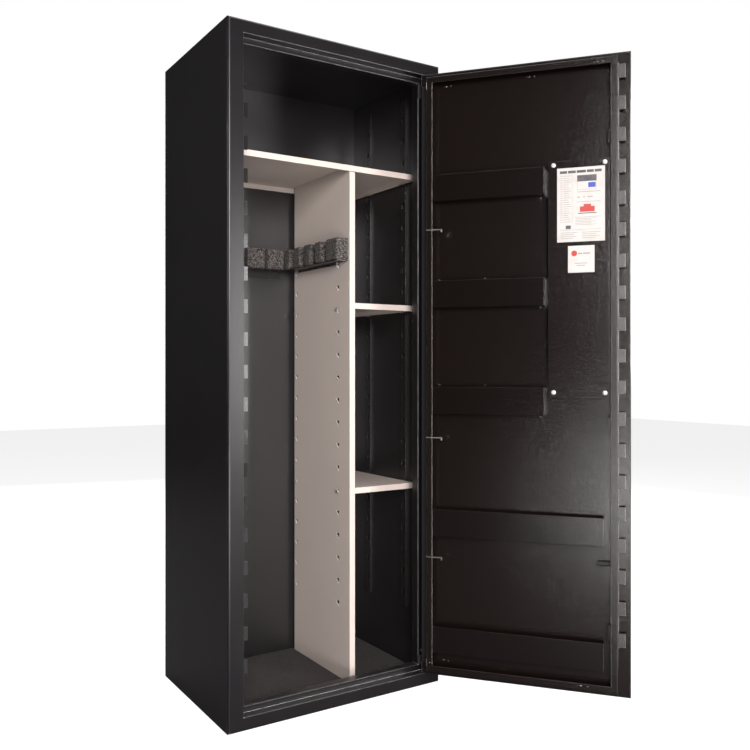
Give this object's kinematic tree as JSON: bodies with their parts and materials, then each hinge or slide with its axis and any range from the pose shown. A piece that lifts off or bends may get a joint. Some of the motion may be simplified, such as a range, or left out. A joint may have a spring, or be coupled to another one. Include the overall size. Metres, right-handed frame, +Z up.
{
  "type": "gun safe",
  "caption": "Tall steel gun safe with an open comb-lock door, foam gun rack, partition, shelves and door trays.",
  "frame": {"origin": "centre of the cabinet's base on the floor", "axes": "+X to the right seen from the front, +Y from the front to the back, +Z up"},
  "size_m": [0.8088, 0.7777, 1.5],
  "materials": {
    "black_powder_coat": "fine textured powder coat, semi-gloss",
    "hammered_black": "hammered enamel, semi-gloss",
    "grey_powder_coat": "smooth powder coat, satin",
    "zinc_steel": "zinc plated",
    "grey_foam": "open-cell foam, speckled",
    "felt_mat": "needle felt",
    "black_rubber": "moulded",
    "chrome_fittings": "satin chrome",
    "nickel_key": "nickel plated",
    "printed_label": "printed film"
  },
  "bodies": {
    "cabinet": {"body_wrap": "black_powder_coat", "top_plate": "black_powder_coat", "bottom_plate": "black_powder_coat", "front_frame": "black_powder_coat", "frame_comb": "black_powder_coat", "shelf_rails": "black_powder_coat", "partition": "grey_powder_coat", "top_shelf": "grey_powder_coat", "middle_shelf": "grey_powder_coat", "lower_shelf": "grey_powder_coat", "shelf_clips": "zinc_steel", "rack_carrier_back": "black_powder_coat", "rack_carrier_side": "black_powder_coat", "foam_rack_back": "grey_foam", "foam_rack_side": "grey_foam", "floor_mat": "felt_mat", "frame_hinge_blocks": "black_powder_coat", "hinge_pins": "zinc_steel", "hinge_washers": "zinc_steel", "hinge_pads": "black_powder_coat"},
    "door": {"door_skin": "hammered_black", "door_panel": "hammered_black", "door_channel": "hammered_black", "door_hinge_corners": "hammered_black", "door_tray_1": "hammered_black", "door_tray_2": "hammered_black", "door_tray_3": "hammered_black", "door_tray_4": "hammered_black", "door_tray_5": "hammered_black", "door_hooks": "zinc_steel", "door_buffer": "black_rubber", "comb_guides": "zinc_steel", "lock_case": "zinc_steel", "key_escutcheon": "chrome_fittings", "handle_rose": "chrome_fittings", "lock_cover": "hammered_black", "cover_posts": "zinc_steel", "cover_screws": "zinc_steel", "label_large": "printed_label", "label_small": "printed_label"},
    "comb": {"comb_bar": "hammered_black"},
    "bolt": {"lock_bolt": "zinc_steel"},
    "key": {"key": "nickel_key"},
    "handle": {"spindle": "zinc_steel", "handle_lever": "chrome_fittings", "crank": "zinc_steel"}
  },
  "joints": [
    {"name": "door_swing", "type": "hinge", "parent": "cabinet", "child": "door", "pos_m": [0.237, -0.196, 0.75], "axis": [0, 0, 1], "range_deg": [-128.5, 0]},
    {"name": "comb_slide", "type": "slide", "parent": "door", "child": "comb", "axis": [0, 0, -1], "range_m": [0, 0.035]},
    {"name": "handle_turn", "type": "hinge", "parent": "door", "child": "handle", "pos_m": [0.47793, -0.49247, 0.95], "axis": [0.7826, 0.6225, 0], "range_deg": [0, 90]},
    {"name": "bolt_slide", "type": "slide", "parent": "door", "child": "bolt", "axis": [0.6225, -0.7826, 0], "range_m": [0, 0.012]},
    {"name": "key_turn", "type": "hinge", "parent": "door", "child": "key", "pos_m": [0.47357, -0.48699, 1.09], "axis": [0.7826, 0.6225, 0], "range_deg": [0, 90]}
  ],
  "couplings": [
    {"joint": "handle_turn", "follows": "comb_slide", "rad_per_m": 44.879},
    {"joint": "key_turn", "follows": "bolt_slide", "rad_per_m": 130.9}
  ]
}
